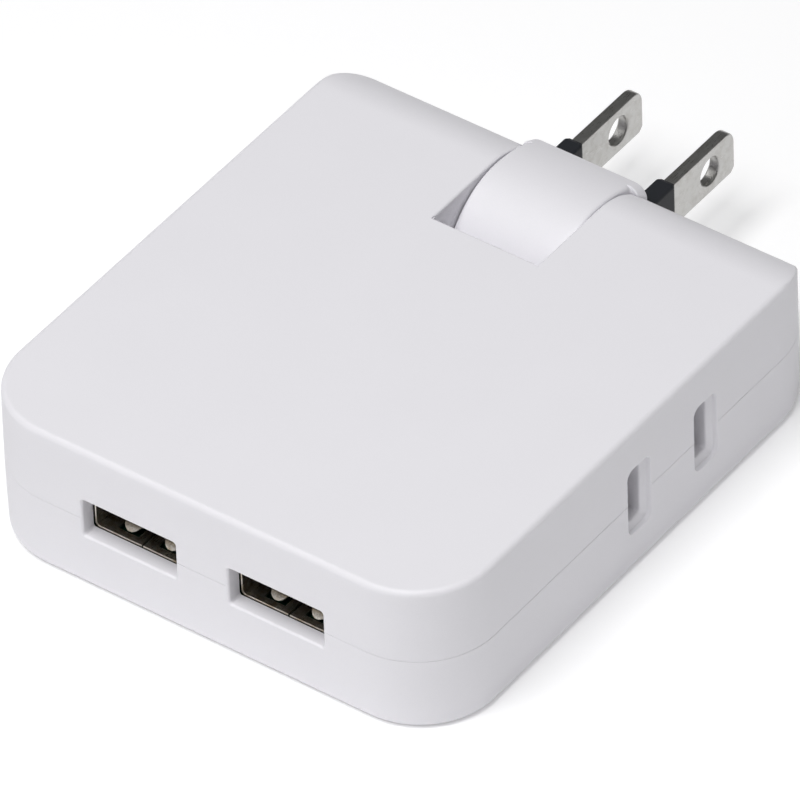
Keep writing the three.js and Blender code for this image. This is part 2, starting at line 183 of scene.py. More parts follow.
# ---- Case halves --------------------------------------------------------------------------------------
# Two shallow trays, 2 mm thick, meet at mid-height: flat faces, round corners seen from above, and a far end
# that is one half-round about the plug's swing axis. The outer edges are rounded a little and the side walls
# lean in a hair from the seam, so that each half leaves its mould.
SWING = Vector(frame["joints"][0]["pos_m"])
WALL = 2 * MM
SEAM = 0.012 * MM
DRAFT = 0.1 * MM
FAR_EDGE = 0.7 * MM


def arc(centre_x, centre_y, radius, start, stop, count):
    """Points on a circle from one angle to another, both ends in it."""
    turn = np.linspace(start, stop, count)
    return np.stack([centre_x + radius * np.cos(turn), centre_y + radius * np.sin(turn)], axis=1)


def slab_outline(height, shrink, edge, lip):
    """The slab's outline, seen from above, at a height from its mid-plane. Flat walls lie at the half width,
    less the draft, less a quarter-round of radius edge where the height nears the top. The far wall is the
    half-round's chord at that height, and it meets each round corner in a small blend."""
    top = HALF_HEIGHT - shrink
    rise = max(height - (top - edge), 0)
    seam_round = lip - sqrt(max(lip**2 - max(lip - (height - SEAM / 2), 0) ** 2, 0))
    inset = seam_round + edge - sqrt(max(edge**2 - rise**2, 0))
    inset += DRAFT * height / top if shrink == 0 else 0
    side = HALF_WIDTH - shrink - inset
    near = FRONT_Y + shrink + inset
    corner = top - inset
    far = SWING.y + sqrt(max(top**2 - height**2, 0)) - seam_round
    blend = min(FAR_EDGE, corner / 2)
    reach = far - blend - SWING.y
    lean = min(max(reach, 0) / (corner - blend), 1)
    arc_y = SWING.y + min(reach, 0)
    blend_x = side - corner + (corner - blend) * sqrt(1 - lean**2)
    right = np.concatenate(
        [
            arc(side - corner, near + corner, corner, -pi / 2, 0, 17),
            arc(side - corner, arc_y, corner, 0, asin(lean), 13),
            arc(blend_x, far - blend, blend, asin(lean), pi / 2, 7)[1:],
        ]
    )
    left = right[::-1] * (-1, 1)
    ring = np.concatenate([right, left])
    return ring_xy(ring, height)


def skin(name, rings, closed=False):
    """A mesh over a grid of points: rings of equal length, each joined to the next. The first and last are
    capped, or joined to each other where the surface closes on itself."""
    rings = np.asarray(rings, float)
    count, around = rings.shape[:2]
    index = np.arange(count * around).reshape(count, around)
    ahead = np.roll(index, -1, axis=1)
    if closed:
        low, high, low_next, high_next = index, np.roll(index, -1, axis=0), ahead, np.roll(ahead, -1, axis=0)
    else:
        low, high, low_next, high_next = index[:-1], index[1:], ahead[:-1], ahead[1:]
    faces = np.stack([low, low_next, high_next, high], axis=-1).reshape(-1, 4).tolist()
    if not closed:
        faces += [index[0][::-1].tolist(), index[-1].tolist()]
    mesh = bpy.data.meshes.new(name)
    mesh.from_pydata(rings.reshape(-1, 3).tolist(), [], faces)
    work = bmesh.new()
    work.from_mesh(mesh)
    bmesh.ops.remove_doubles(work, verts=work.verts, dist=1e-7)
    bmesh.ops.dissolve_degenerate(work, edges=work.edges, dist=1e-7)
    bmesh.ops.recalc_face_normals(work, faces=work.faces)
    work.to_mesh(mesh)
    work.free()
    piece = bpy.data.objects.new(name, mesh)
    bpy.context.collection.objects.link(piece)
    return piece


def carve(piece, tool, operation="DIFFERENCE"):
    """Cuts the tool from the piece, or joins it on, and takes the tool away."""
    change = piece.modifiers.new("carve", "BOOLEAN")
    change.operation = operation
    change.solver = "MANIFOLD"
    change.object = tool
    seen = piece.evaluated_get(bpy.context.evaluated_depsgraph_get())
    worked = bpy.data.meshes.new_from_object(seen)
    piece.modifiers.clear()
    rough = piece.data
    piece.data = worked
    bpy.data.meshes.remove(rough)
    bpy.data.objects.remove(tool)
    return piece


def smooth(piece, angle=35):
    """Shades the piece smooth between its sharp edges, with flat faces kept flat."""
    piece.data.shade_smooth()
    piece.data.set_sharp_from_angle(angle=radians(angle))
    weigh = piece.modifiers.new("flat_faces", "WEIGHTED_NORMAL")
    weigh.keep_sharp = True
    weigh.weight = 80


def dress(piece, material, body, slot, *nodes):
    """Gives the piece its material and its body, and hides the nodes that it stands for. The slot is not
    used.
    """
    piece.data.materials.clear()
    piece.data.materials.append(material)
    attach(piece, body)
    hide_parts(*nodes)


def brick(name, low, high):
    """A plain box between two corners, as a tool for cutting or joining."""
    (x0, y0, z0), (x1, y1, z1) = low, high
    ring = np.array([(x0, y0), (x1, y0), (x1, y1), (x0, y1)])
    return skin(name, [ring_xy(ring, z) for z in (z0, z1)])


def rounded(width, height, radius, count=6):
    """A rectangle with round corners, centred, as points: four arcs of the same number of points."""
    x, y = width / 2 - radius, height / 2 - radius
    corners = [(x, y, 0), (-x, y, pi / 2), (-x, -y, pi), (x, -y, 1.5 * pi)]
    return np.concatenate([arc(cx, cy, radius, turn, turn + pi / 2, count) for cx, cy, turn in corners])


def ring_xy(outline, z):
    """An outline drawn in X and Y, laid at a height."""
    return np.column_stack([outline, np.full(len(outline), z)])


def ring_xz(outline, x, y, z=0):
    """An outline drawn in X and Z, stood up at a value of Y."""
    return np.column_stack([x + outline[:, 0], np.full(len(outline), y), z + outline[:, 1]])


def ring_yz(outline, x, y=0, z=0):
    """An outline drawn in Y and Z, stood up at a value of X."""
    return np.column_stack([np.full(len(outline), x), y + outline[:, 0], z + outline[:, 1]])


def circle(x, y, radius, around=48):
    """A full circle of points, without the repeat of the first."""
    return arc(x, y, radius, 0, 2 * pi * (around - 1) / around, around)


def rod(name, radius, start, stop, y, z):
    """A round bar along X."""
    return skin(name, [ring_yz(circle(y, z, radius), x) for x in (start, stop)])


NOTCH_HALF = 7.2 * MM
NOTCH_Y = SWING.y - 11.5 * MM
CHEEK = 3 * MM
MOUTH_ROUND = 0.28 * MM
TRUNNION_RADIUS = 2.8 * MM
PORTS = {"left": -10 * MM, "right": 10 * MM}
SLOTS_Y = [SWING.y - 27.6 * MM, SWING.y - 14.9 * MM]
SCREWS = {"front": (24 * MM, SWING.y - 54 * MM), "rear": (21.5 * MM, SWING.y - 1.5 * MM)}


def edge_tool(name, path, outward, aside, radius):
    """A tool that rounds the edge of a cut. A section, square behind and a hollow quarter-round in front, is
    carried along the path: each point is the path's, moved in against the outward direction by its depth and
    aside by its offset."""
    turn = np.linspace(0.46 * pi, 0, 7)
    depth = np.concatenate([[-0.3 * MM, -0.3 * MM], radius - radius * np.sin(turn), [radius]])
    offset = np.concatenate([[-0.4 * MM, radius + 0.12 * MM], radius - radius * np.cos(turn), [-0.4 * MM]])
    path, outward = np.asarray(path)[:, None], np.asarray(outward)[:, None]
    sideways = offset[None, :, None] * np.asarray(aside)
    return skin(name, path - depth[None, :, None] * outward + sideways)


def notch_tools():
    """The notch that the plug swings in, with its long edges rounded right round the far end."""
    turn = np.linspace(pi / 2, -pi / 2, 61)
    curve_y = SWING.y + HALF_HEIGHT * np.cos(turn)
    curve_z = HALF_HEIGHT * np.sin(turn)
    flat_y = np.array([NOTCH_Y - 0.2 * MM])
    y = np.concatenate([flat_y, curve_y, flat_y])
    z = np.concatenate([[HALF_HEIGHT], curve_z, [-HALF_HEIGHT]])
    outward_y = np.concatenate([[0], np.cos(turn), [0]])
    outward_z = np.concatenate([[1], np.sin(turn), [-1]])
    outward = np.column_stack([np.zeros(len(y)), outward_y, outward_z])
    tools = []
    for side in (-1, 1):
        path = np.column_stack([np.full(len(y), side * NOTCH_HALF), y, z])
        tools.append(edge_tool("notch_edge", path, outward, (side, 0, 0), MOUTH_ROUND))
    for up in (-1, 1):
        path = [(x, NOTCH_Y, up * HALF_HEIGHT) for x in (-NOTCH_HALF - 0.1 * MM, NOTCH_HALF + 0.1 * MM)]
        tools.append(edge_tool("notch_edge", path, [(0, 0, up)] * 2, (0, -1, 0), MOUTH_ROUND))
    deep, far = 20 * MM, SWING.y + 20 * MM
    tools.append(brick("notch", (-NOTCH_HALF, NOTCH_Y, -deep), (NOTCH_HALF, far, deep)))
    return tools


def flange_room():
    """The room that the plug's wide face sweeps as it swings down: a profile about the axis, along X."""
    back_y, tall, out = 6.2 * MM, 8.75 * MM, 13 * MM
    hollow = arc(0, 0, back_y, 0, -pi / 2, 19)
    outline = [(back_y, tall), *hollow.tolist(), (-tall, -back_y), (-tall, -out), (out, -out), (out, tall)]
    half = 8.35 * MM
    return skin("flange_room", [ring_yz(np.array(outline), x, SWING.y) for x in (-half, half)])


def port_tool(x):
    """A USB opening: a round-cornered rectangle whose edge opens in a quarter-round at the front face."""
    width, height, corner = 12.8 * MM, 5.2 * MM, 0.35 * MM
    radius, deep, lift = 0.4 * MM, 4 * MM, 0.1 * MM
    turn = np.linspace(0, 0.46 * pi, 7)
    depth = np.concatenate([[-0.3 * MM], (radius - radius * np.sin(turn))[::-1], [deep]])
    grow = np.concatenate([[radius + 0.3 * MM], (radius - radius * np.cos(turn))[::-1], [0]])
    rings = []
    for d, g in zip(depth, grow):
        outline = rounded(width + 2 * g, height + 2 * g, corner + g)
        rings.append(ring_xz(outline, x, FRONT_Y + d, lift))
    return skin("port_opening", rings)


def slot_tool(side, y):
    """An outlet slot, from outside in: a rounded rim, a short steep wall, a sloped ledge and the slot itself.
    Each row is a depth, then how far the long sides have drawn in from the rim's. The ends draw in a tenth
    more than the sides."""
    steps = [(-0.3, -0.3), (0, 0), (0.06, 0.1), (0.16, 0.18), (0.3, 0.22), (0.5, 0.27), (0.54, 0.31)]
    steps += [(0.82, 1.02), (0.92, 1.14), (1.1, 1.2), (7, 1.2)]
    rings = []
    for depth, inset in steps:
        width, height = (4.6 - 2 * inset) * MM, (9.6 - 2.2 * inset) * MM
        outline = rounded(width, height, max(1.2 - inset, 0.4) * MM)
        rings.append(ring_yz(outline, side * (HALF_WIDTH - depth * MM), y))
    return skin("slot", rings)


def screw_tool(x, y):
    """A screw's hole from the underside: a wide sink with a chamfered mouth, then the shank's hole."""
    steps = [(-10.2, 3.2), (-10, 3.0), (-9.8, 2.8), (-7.6, 2.8), (-7.6, 1.5), (6, 1.5)]
    return skin("screw_hole", [ring_xy(circle(x, y, r * MM), z * MM) for z, r in steps])


def case_half(name, up):
    """One tray: the outer skin from its flat face down to the seam, then back up the inside, capped by the
    flat face and the inner ceiling. Its pads and bosses are joined on, and its openings are cut."""
    edge = 0.7 * MM if up > 0 else 1.3 * MM
    lip, inner_edge = 0.07 * MM, 1 * MM
    turn = np.linspace(pi / 2, 0, 33)
    outer = [slab_outline(HALF_HEIGHT * sin(t), 0, edge, lip) for t in turn[:-1]]
    outer += [slab_outline(SEAM / 2 + lip * (1 - sin(t)), 0, edge, lip) for t in np.linspace(0, pi / 2, 5)]
    inner_top = HALF_HEIGHT - WALL
    inner = [slab_outline(SEAM / 2, WALL, inner_edge, 0)]
    inner += [slab_outline(inner_top * sin(t), WALL, inner_edge, 0) for t in np.linspace(0, pi / 2, 17)[1:]]
    rings = np.array(outer + inner)
    rings[:, :, 2] *= up
    tray = skin(name, rings)
    joined = []
    cheek = NOTCH_HALF + CHEEK
    low, high = SEAM / 2, HALF_HEIGHT - WALL / 2
    z0, z1 = sorted((up * low, up * high))
    bend = arc(SWING.y, 0, high, asin(low / high), pi / 2, 25)
    flank = np.concatenate([[(NOTCH_Y - WALL, low)], bend, [(NOTCH_Y - WALL, high)]]) * (1, up)
    joined.append(skin("cheeks", [ring_yz(flank, x) for x in (-cheek, cheek)]))
    pad_deep, pad_start, pad_end = 4.8 * MM, SLOTS_Y[0] - 4 * MM, SLOTS_Y[1] + 3.5 * MM
    boss_radius = 3.9 * MM
    for side in (-1, 1):
        x0, x1 = sorted((side * (HALF_WIDTH - WALL / 2), side * (HALF_WIDTH - pad_deep)))
        joined.append(brick("slot_pad", (x0, pad_start, z0), (x1, pad_end, z1)))
        for x, y in SCREWS.values():
            boss = circle(side * x, y, boss_radius, 32)
            joined.append(skin("boss", [ring_xy(boss, z) for z in (z0, z1)]))
    for block in joined:
        carve(tray, block, "UNION")
    cuts = notch_tools() + [flange_room()]
    cuts += [rod("trunnion_hole", TRUNNION_RADIUS + 0.2 * MM, -cheek - MM, cheek + MM, SWING.y, 0)]
    cuts += [port_tool(x) for x in PORTS.values()]
    cuts += [slot_tool(side, y) for side in (-1, 1) for y in SLOTS_Y]
    cuts += [screw_tool(side * x, y) for side in (-1, 1) for x, y in SCREWS.values()]
    for cut in cuts:
        carve(tray, cut)
    tray.data.transform(Matrix.Translation((0, 0, MID_Z)))
    smooth(tray)
    dress(tray, white_plastic, "case", "white_plastic", name)


case_half("top_case", 1)
case_half("bottom_case", -1)


# ---- USB ports ----------------------------------------------------------------------------------------
# Each port is a can folded from tinned steel sheet round a black insulator. The fold's butt joint runs along
# the middle of its floor, and two round-ended spring fingers are punched in the floor on either side of it.
def metal_group():
    """Drawn or rolled metal: streaks along one axis from stretched noise, and blotches from plain noise.
    They vary the colour and roughness and tilt the normal a little."""
    tree, given, result = new_group(
        "worked_metal",
        [
            ("Colour", "NodeSocketColor", (0.7, 0.7, 0.7, 1)),
            ("Stain", "NodeSocketColor", (0.5, 0.4, 0.3, 1)),
            ("Stain Amount", "NodeSocketFloat", 0.3),
            ("Roughness", "NodeSocketFloat", 0.25),
            ("Streak Depth", "NodeSocketFloat", 0.002 * MM),
        ],
        [("Colour", "NodeSocketColor"), ("Roughness", "NodeSocketFloat"), ("Normal", "NodeSocketVector")],
    )
    link = tree.links.new
    place = node_in(tree, "ShaderNodeTexCoord")
    stretch = node_in(tree, "ShaderNodeMapping", Scale=(9000, 700, 9000))
    link(place.outputs["Object"], stretch.inputs["Vector"])
    streak = node_in(tree, "ShaderNodeTexNoise", Scale=1.0, Detail=4.0, Roughness=0.65)
    link(stretch.outputs["Vector"], streak.inputs["Vector"])
    blotch = node_in(tree, "ShaderNodeTexNoise", Scale=900.0, Detail=5.0, Roughness=0.6)
    link(place.outputs["Object"], blotch.inputs["Vector"])
    where = node_in(tree, "ShaderNodeMapRange", From_Min=0.45, From_Max=0.75)
    link(blotch.outputs["Fac"], where.inputs["Value"])
    amount = node_in(tree, "ShaderNodeMath", operation="MULTIPLY")
    link(where.outputs["Result"], amount.inputs[0])
    link(given.outputs["Stain Amount"], amount.inputs[1])
    mix = node_in(tree, "ShaderNodeMix", data_type="RGBA")
    link(amount.outputs[0], mix.inputs["Factor"])
    link(given.outputs["Colour"], mix.inputs["A"])
    link(given.outputs["Stain"], mix.inputs["B"])
    link(mix.outputs["Result"], result.inputs["Colour"])
    vary = node_in(tree, "ShaderNodeMapRange", From_Min=0.3, From_Max=0.7, To_Min=-0.06, To_Max=0.1)
    link(streak.outputs["Fac"], vary.inputs["Value"])
    rough = node_in(tree, "ShaderNodeMath", operation="ADD")
    link(given.outputs["Roughness"], rough.inputs[0])
    link(vary.outputs["Result"], rough.inputs[1])
    link(rough.outputs[0], result.inputs["Roughness"])
    bump = node_in(tree, "ShaderNodeBump", Strength=1.0)
    link(streak.outputs["Fac"], bump.inputs["Height"])
    link(given.outputs["Streak Depth"], bump.inputs["Distance"])
    link(bump.outputs["Normal"], result.inputs["Normal"])
    return tree


METAL = metal_group()


def metal(name, colour, stain, amount, roughness, depth=0.002 * MM):
    """A worked metal with the streak group in front of it."""
    material = bpy.data.materials.new(name)
    material.use_nodes = True
    tree = material.node_tree
    bsdf = tree.nodes["Principled BSDF"]
    bsdf.inputs["Metallic"].default_value = 1
    worked = node_in(tree, "ShaderNodeGroup", node_tree=METAL)
    worked.inputs["Colour"].default_value = (*colour, 1)
    worked.inputs["Stain"].default_value = (*stain, 1)
    worked.inputs["Stain Amount"].default_value = amount
    worked.inputs["Roughness"].default_value = roughness
    worked.inputs["Streak Depth"].default_value = depth
    tree.links.new(worked.outputs["Colour"], bsdf.inputs["Base Color"])
    tree.links.new(worked.outputs["Roughness"], bsdf.inputs["Roughness"])
    tree.links.new(worked.outputs["Normal"], bsdf.inputs["Normal"])
    return material


tinned_steel = metal("tinned_steel", (0.76, 0.72, 0.64), (0.40, 0.28, 0.12), 0.8, 0.3)
port_black = moulded("port_black", (0.012, 0.012, 0.014), 0.42, 0.12 * MM, 0.003 * MM)
gold_plate = metal("gold_plate", (0.83, 0.58, 0.24), (0.55, 0.32, 0.12), 0.4, 0.22)
SHEET = 0.3 * MM


def strip(name, path_y, path_z, half_width, thick, x):
    """A strip of sheet bent along a path in Y and Z: a flat section with rounded edges is carried along it,
    of the half width given at each point."""
    path = np.column_stack([path_y, path_z])
    along = np.gradient(path, axis=0)
    along /= np.linalg.norm(along, axis=1)[:, None]
    normal = np.column_stack([-along[:, 1], along[:, 0]])
    section = rounded(2, thick, thick * 0.45, 4)
    section[:, 0] /= np.abs(section[:, 0]).max()
    rings = []
    for place, out, half in zip(path, normal, half_width):
        across_x = x + section[:, 0] * half
        rings.append(np.column_stack([across_x, place + section[:, 1:] * out]))
    return skin(name, rings)


def port_can(side, x):
    """The can: a round-cornered section is carried out to the mouth, over its rounded lip and back inside.
    Each finger climbs from its root to a crest near its rounded tip, and then dips."""
    low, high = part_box(f"usb_shell_{side}")
    mouth, end = low.y, high.y
    width, height, corner = high.x - low.x, high.z - low.z, 0.75 * MM
    turn = np.linspace(0, pi, 9)
    inset = np.concatenate([[0], SHEET / 2 - SHEET / 2 * np.cos(turn), [SHEET]])
    y = np.concatenate([[end], mouth + SHEET / 2 - SHEET / 2 * np.sin(turn), [end]])
    rings = []
    for draw, along in zip(inset, y):
        outline = rounded(width - 2 * draw, height - 2 * draw, corner - draw)
        rings.append(ring_xz(outline, x, along, MID_Z))
    can = skin(f"usb_can_{side}", rings, closed=True)
    gap = 0.12 * MM
    carve(can, brick("joint", (x - gap, mouth - MM, low.z - MM), (x + gap, end - 2 * MM, MID_Z)))
    floor_z = low.z + SHEET
    root, tip = mouth + 7.4 * MM, mouth + 1.25 * MM
    window_half, finger_half, finger_thick = 1.4 * MM, 1.15 * MM, 0.26 * MM
    crest, rise, dip = 0.84, 0.62 * MM, 0.55 * MM
    for finger_x in (x - 2.6 * MM, x + 2.9 * MM):
        near = (finger_x - window_half, tip - 0.25 * MM, low.z - MM)
        far = (finger_x + window_half, root - 0.3 * MM, floor_z + 0.5 * MM)
        carve(can, brick("window", near, far))
        s = np.linspace(0, 1, 41)
        climb = np.sin(np.clip(s / crest, 0, 1) * pi / 2) ** 2
        drop = np.clip((s - crest) / (1 - crest), 0, 1) ** 1.5
        finger_z = floor_z - SHEET / 2 + rise * climb - dip * drop
        half = finger_half * np.sqrt(np.clip(1 - np.clip((s - 0.82) / 0.185, 0, 1) ** 2, 0.04, 1))
        finger_y = root + s * (tip - root)
        carve(can, strip("finger", finger_y, finger_z, half, finger_thick, finger_x), "UNION")
    smooth(can)
    dress(can, tinned_steel, "case", "steel", f"usb_shell_{side}")


def port_tongue(side, x):
    """The insulator: a back block filling the can, and a tongue with a chamfered tip."""
    low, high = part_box(f"usb_tongue_{side}")
    block_y = high.y - 2.4 * MM
    width, thick, chamfer, lift = 11.1 * MM, 1.8 * MM, 0.35 * MM, 1 * MM
    rings = []
    for y, draw in [(low.y, chamfer), (low.y + chamfer, 0), (block_y, 0)]:
        outline = rounded(width - 2 * draw, thick - 2 * draw, 0.2 * MM)
        rings.append(ring_xz(outline, x, y, MID_Z + lift))
    for y in (block_y, high.y):
        outline = rounded(high.x - low.x, high.z - low.z, 0.3 * MM)
        rings.append(ring_xz(outline, x, y, MID_Z))
    tongue = skin(f"usb_insulator_{side}", rings)
    smooth(tongue)
    dress(tongue, port_black, "case", "black_plastic", f"usb_tongue_{side}")


def port_contact(side, number):
    """A contact: a thin gold-plated spring strip under the tongue, bowed down in the middle."""
    low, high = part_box(f"usb_contact_{side}_{number}")
    s = np.linspace(0, 1, 21)
    thick, sag = 0.14 * MM, 0.14 * MM
    bow = sag * np.sin(pi * np.clip((s - 0.05) / 0.6, 0, 1)) ** 2
    middle = (low.x + high.x) / 2
    half = np.full(21, (high.x - low.x) / 2)
    half[:3] *= (0.6, 0.8, 0.95)
    y = low.y + s * (high.y - low.y)
    contact = strip(f"usb_spring_{side}_{number}", y, high.z - 0.08 * MM - bow, half, thick, middle)
    smooth(contact)
    dress(contact, gold_plate, "case", "brass", f"usb_contact_{side}_{number}")


for side, x in PORTS.items():
    port_can(side, x)
    port_tongue(side, x)
    for number in (1, 2, 3, 4):
        port_contact(side, number)


# ---- Swinging plug: head ------------------------------------------------------------------------------
# One white moulding: a drum about the swing axis, which fills the notch, runs out into a block whose sides
# sweep out in a small cove to the wide plug face. A trunnion on each side turns in the case's cheeks.
BLADE_X = 6.35 * MM
BORE_HALF = 0.78 * MM
BORE_TALL = 3.18 * MM
SLEEVE_HALF = 1.25 * MM
SLEEVE_TALL = 3.65 * MM
TAIL_X = (4.7 * MM, 5.8 * MM)
TAIL_HALF = 2.2 * MM
TAIL_END = 7.85 * MM
PIN_RADIUS = 1.4 * MM


def head_section(y, half_width, half_height, corner):
    """A round-cornered section of the head at a distance from the swing axis."""
    corner = min(corner, half_height * 0.98, half_width * 0.98)
    return ring_xz(rounded(2 * half_width, 2 * half_height, corner, 8), 0, y)


def plug_head():
    """The head, carried from the drum's near side to the plug face. Half its height follows the drum's circle
    up to the axis and then falls with the square of the distance."""
    low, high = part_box("plug_head")
    drum = (high.z - low.z) / 2
    drum_half = NOTCH_HALF - 0.16 * MM
    face = high.y - SWING.y
    wing_back, wing_half = face - 1.8 * MM, 8.1 * MM
    cove = 0.6 * MM
    edge = 0.45 * MM
    rings = []
    for turn in np.linspace(0.02, pi / 2, 40):
        draw = edge * (1 - min(sin(turn) * drum / edge, 1))
        rings.append(head_section(-drum * cos(turn), drum_half - draw, drum * sin(turn), edge))

    def fall(y):
        return drum - y**2 / (32 * MM)

    for y in np.linspace(0, wing_back - cove, 16)[1:]:
        rings.append(head_section(y, drum_half, fall(y), edge))
    for turn in np.linspace(0, 0.42 * pi, 7)[1:]:
        y = wing_back - cove + cove * sin(turn)
        corner = edge + (1.5 * MM - edge) * turn / (0.5 * pi)
        rings.append(head_section(y, drum_half + cove * (1 - cos(turn)), fall(y), corner))
    rim = 0.3 * MM
    for turn in np.linspace(0, pi / 2, 5):
        y = wing_back + rim * (1 - cos(turn))
        rings.append(head_section(y, wing_half - rim * (1 - sin(turn)), fall(y), 1.6 * MM))
    for turn in np.linspace(0, pi / 2, 5):
        y = face - rim * (1 - sin(turn))
        draw = rim * (1 - cos(turn))
        rings.append(head_section(y, wing_half - draw, fall(y) - draw, 1.6 * MM))
    head = skin("swing_head", rings)
    for end in (low.x, high.x):
        x0, x1 = sorted((end, end * 0.5))
        carve(head, rod("trunnion", TRUNNION_RADIUS, x0, x1, 0, 0), "UNION")
    for side in (-1, 1):
        x = side * BLADE_X
        sleeve_room = (SLEEVE_HALF + 0.06 * MM, SLEEVE_TALL + 0.06 * MM, 7.9 * MM)
        blade_room = (BORE_HALF + 0.07 * MM, BORE_TALL + 0.07 * MM, 6.9 * MM)
        for half, tall, root in (sleeve_room, blade_room):
            carve(head, brick("blade_slot", (x - half, root, -tall), (x + half, face + MM, tall)))
        room = 0.1 * MM
        tall = TAIL_HALF + room
        x0, x1 = sorted((side * (TAIL_X[0] - room), side * (TAIL_X[1] + room)))
        carve(head, brick("tail_slot", (x0, -tall, -tall), (x1, TAIL_END + room, tall)))
        x0, x1 = sorted((side * 5.3 * MM, side * 13 * MM))
        carve(head, rod("pin_hole", PIN_RADIUS + room, x0, x1, 0, 0))
    head.data.transform(Matrix.Translation(SWING))
    smooth(head)
    dress(head, white_plastic, "plug", "white_plastic", "plug_head")


plug_head()


# ---- Swinging plug: blades ----------------------------------------------------------------------------
# Two flat blades blanked from brass strip and nickel-plated, each with a countersunk hole near its tip and
# its edges eased by tumbling. Inside the head each has a stepped tail that reaches to just short of its pin.
nickel = metal("nickel_plate", (0.52, 0.515, 0.50), (0.33, 0.31, 0.28), 0.5, 0.3, 0.0015 * MM)


def plug_blade(side, sign):
    """A blade: its outline, seen from the side, is carried across its thickness, drawn in at both faces by an
    eased edge. The hole is cut by a turned tool that widens at each face."""
    low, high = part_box(f"plug_blade_{side}")
    x = sign * BLADE_X
    half = high.x - x if sign > 0 else x - low.x
    tip, root = high.y, SWING.y + 7 * MM
    tall = high.z - MID_Z
    ease = 0.3 * MM

    def outline(draw):
        """The side view drawn in by a distance: a round upper corner and a clipped lower one at the tip."""
        up, clip = 1.9 * MM, 0.7 * MM
        corner = arc(tip - up, tall - up, up - draw, 0, pi / 2, 9)
        lower = [(tip - clip - draw * 0.41, -tall + draw), (tip - draw, -tall + clip + draw * 0.41)]
        return np.array([(root, -tall + draw), *lower, *corner.tolist(), (root, tall - draw)])

    steps = [(-half + ease * (1 - cos(t)), ease * (1 - sin(t))) for t in np.linspace(0, pi / 2, 6)]
    steps += [(-place, draw) for place, draw in reversed(steps)]
    rings = []
    for place, draw in steps:
        rings.append(ring_yz(outline(draw), x + place, 0, MID_Z))
    blade = skin(f"blade_{side}", rings)
    x0, x1 = sorted(sign * tail_x for tail_x in TAIL_X)
    start = (x0, SWING.y - TAIL_HALF, MID_Z - TAIL_HALF)
    end = (x1, SWING.y + TAIL_END, MID_Z + TAIL_HALF)
    carve(blade, brick("tail", start, end), "UNION")
    hole_y = tip - 4.8 * MM
    profile = [(-half - 0.2 * MM, 2.25), (-half, 2.05), (-half + 0.08 * MM, 1.9), (-half + 0.22 * MM, 1.8)]
    profile += [(-place, radius) for place, radius in reversed(profile)]
    rings = []
    for place, radius in profile:
        rings.append(ring_yz(circle(hole_y, MID_Z, radius * MM), x + place))
    carve(blade, skin("hole", rings))
    smooth(blade, 30)
    dress(blade, nickel, "plug", "nickel_plate", f"plug_blade_{side}")


SIDES = {"left": -1, "right": 1}
for side, sign in SIDES.items():
    plug_blade(side, sign)


# ---- Swinging plug: blade sleeves ---------------------------------------------------------------------
# A black plastic collar round the root of each blade, so that no live metal shows while the plug goes in.
# It is moulded, with its outer end chamfered.
sleeve_black = moulded("sleeve_black", (0.008, 0.010, 0.014), 0.6, 0.15 * MM, 0.004 * MM)


def blade_sleeve(side, sign):
    """A collar: a round-cornered section carried out along the blade, over a chamfered end and back along
    the bore, which clears the blade by a hair."""
    low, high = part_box(f"blade_sleeve_{side}")
    steps = [(low.y, 0), (high.y - 0.7 * MM, 0.02), (high.y - 0.55 * MM, 0.06)]
    steps += [(high.y - 0.06 * MM, 0.36), (high.y, 0.42)]
    x = sign * BLADE_X
    rings = []
    for y, draw in steps:
        width, height = 2 * (SLEEVE_HALF - draw * MM), 2 * (SLEEVE_TALL - draw * MM)
        rings.append(ring_xz(rounded(width, height, max(0.45 - draw, 0.08) * MM), x, y, MID_Z))
    for y in (high.y, low.y):
        rings.append(ring_xz(rounded(2 * BORE_HALF, 2 * BORE_TALL, 0.05 * MM), x, y, MID_Z))
    sleeve = skin(f"sleeve_{side}", rings, closed=True)
    smooth(sleeve)
    dress(sleeve, sleeve_black, "plug", "black_plastic", f"blade_sleeve_{side}")


for side, sign in SIDES.items():
    blade_sleeve(side, sign)


# ---- Swinging plug: pins ------------------------------------------------------------------------------
# A turned brass pin with a domed head carries each pole out through its hollow trunnion. Its inner end stops
# just short of the blade's tail.
brass = metal("brass", (0.80, 0.56, 0.26), (0.45, 0.27, 0.10), 0.45, 0.28)


def turned(name, steps, place, around=40):
    """A turned piece: circles of the given radii at the given steps along X, Y or Z, as place lays them."""
    unit = circle(0, 0, 1, around)
    return skin(name, [place(np.full(around, along), *(radius * unit).T) for along, radius in steps])


for side, sign in SIDES.items():
    low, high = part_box(f"contact_pin_{side}")
    inner, outer = (low.x, high.x) if sign > 0 else (high.x, low.x)
    flange = 2.2 * MM
    head = outer - sign * 0.7 * MM
    steps = [(inner, PIN_RADIUS - 0.2 * MM), (inner + sign * 0.2 * MM, PIN_RADIUS)]
    steps += [(head, PIN_RADIUS), (head, flange), (outer - sign * 0.3 * MM, flange)]
    steps += [(outer - sign * 0.08 * MM, flange * 0.8), (outer, flange * 0.4)]
    pin = turned(f"trunnion_pin_{side}", steps, lambda x, y, z: np.column_stack([x, SWING.y + y, MID_Z + z]))
    smooth(pin)
    dress(pin, brass, "plug", "brass", f"contact_pin_{side}")


# ---- Case screws --------------------------------------------------------------------------------------
# Four zinc-plated pan-head screws, each with a cross recess, draw the bottom half up against the bosses. They
# sit in sinks in the underside.
zinc = metal("zinc_plate", (0.66, 0.67, 0.68), (0.45, 0.42, 0.36), 0.4, 0.26)


